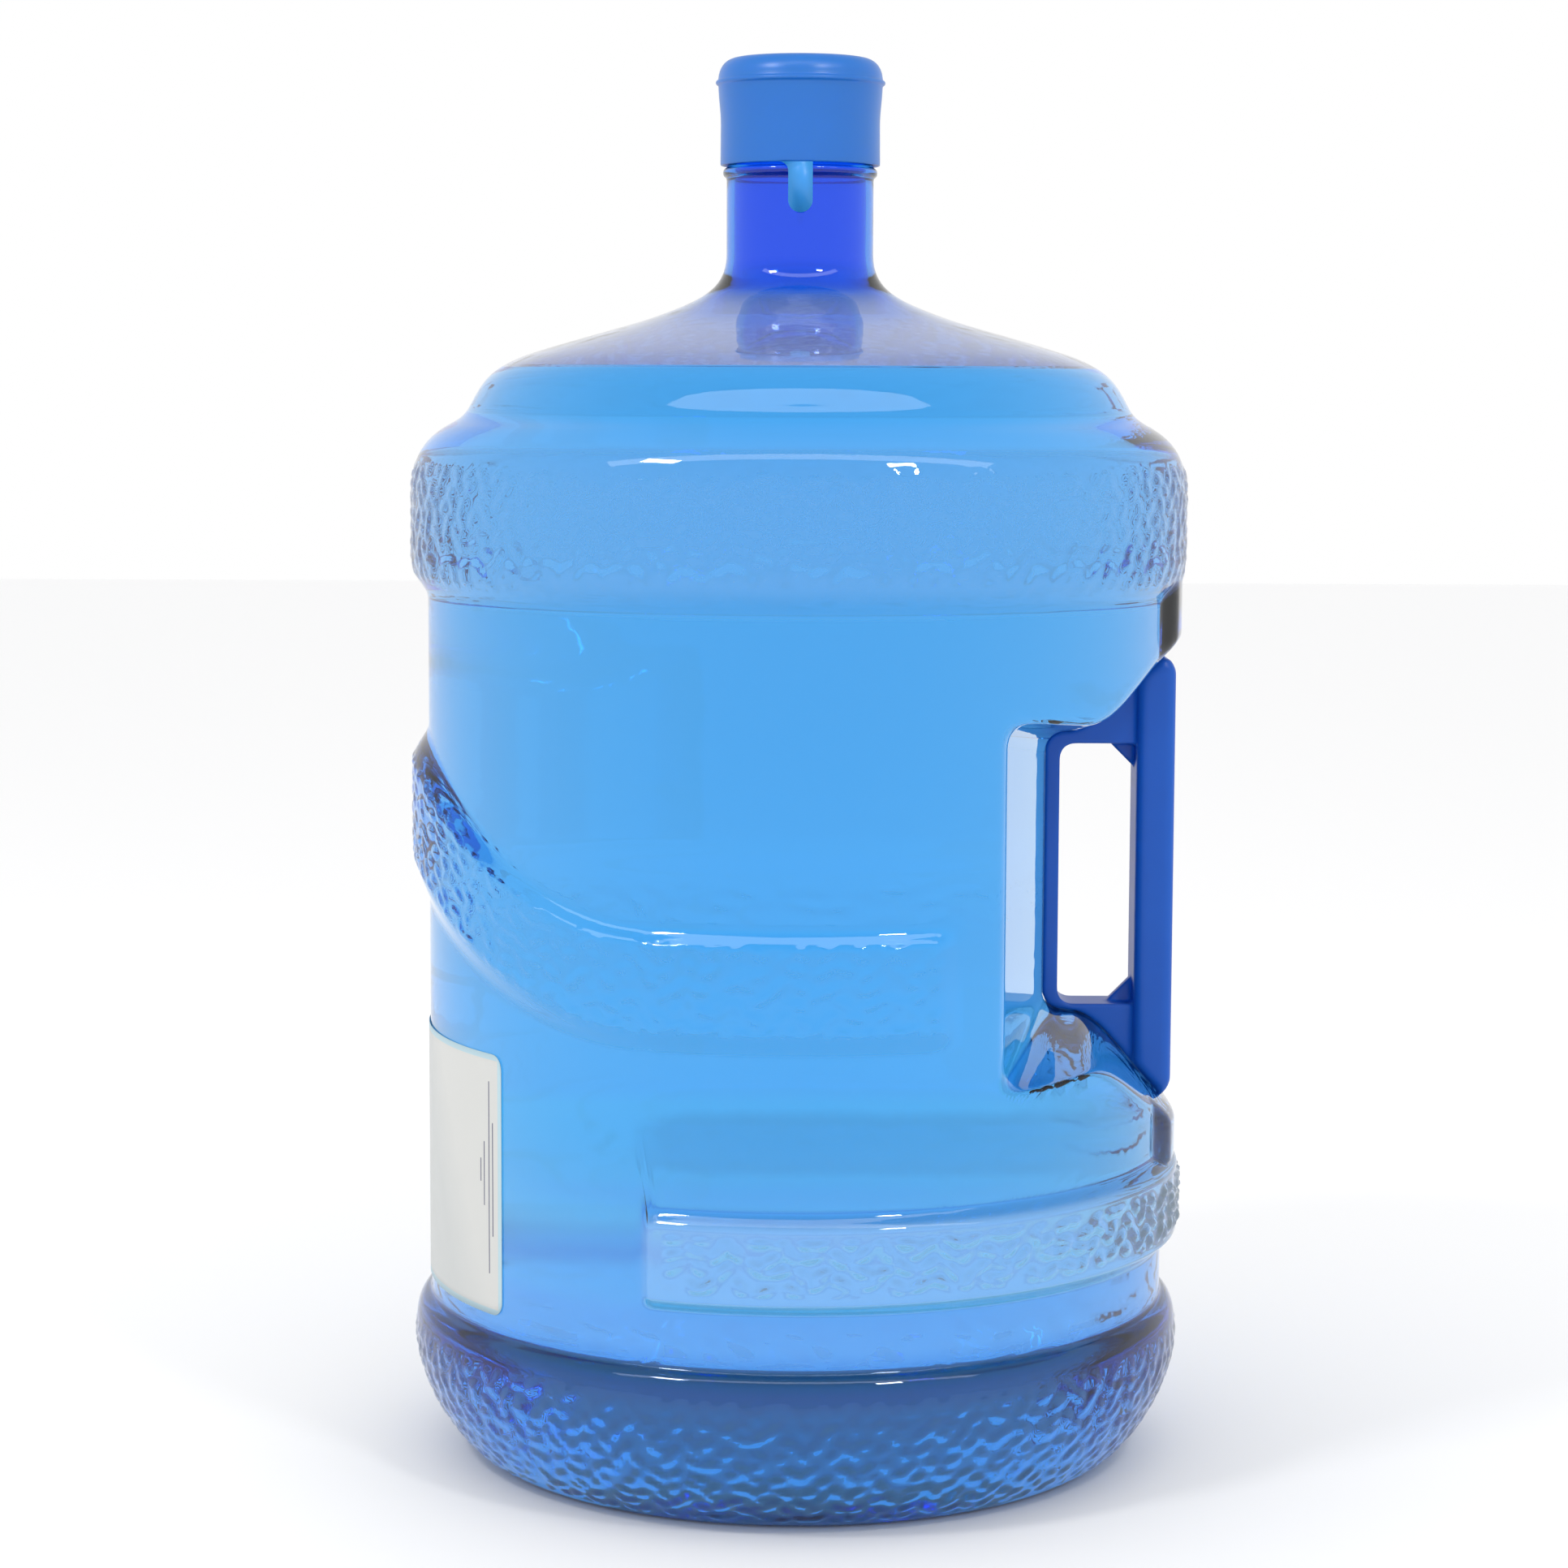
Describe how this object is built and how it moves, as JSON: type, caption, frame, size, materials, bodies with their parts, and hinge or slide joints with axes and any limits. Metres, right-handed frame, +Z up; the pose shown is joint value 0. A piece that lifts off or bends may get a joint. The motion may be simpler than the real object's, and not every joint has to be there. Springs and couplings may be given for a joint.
{
  "type": "large water jug",
  "caption": "Full water-cooler jug with grained bands, an arched rib, a grip in a hand recess, a wrap label and a push-on cap with a pull tab.",
  "frame": {"origin": "centre of the foot ring that the jug stands on, at floor level", "axes": "+Z up along the neck, +X towards the grip, -X towards the label, -Y towards the cap's pull tab"},
  "size_m": [0.272, 0.272, 0.491],
  "materials": {
    "tinted_shell": "gloss",
    "grip_plastic": "satin",
    "water": "gloss",
    "label_film": "satin",
    "cap_plastic": "satin",
    "liner_foam": "matte"
  },
  "bodies": {
    "jug": {"jug_body": "tinted_shell", "handle_insert": "grip_plastic", "water_fill": "water", "label": "label_film"},
    "cap": {"cap_shell": "cap_plastic", "cap_liner": "liner_foam"},
    "tab": {"pull_tab": "cap_plastic"}
  },
  "joints": [
    {"name": "cap_lift", "type": "slide", "parent": "jug", "child": "cap", "axis": [0, 0, 1], "range_m": [0, 0.06]},
    {"name": "tab_hinge", "type": "hinge", "parent": "cap", "child": "tab", "pos_m": [0, -0.0285, 0.4537], "axis": [-1, 0, 0], "range_deg": [0, 110]}
  ]
}
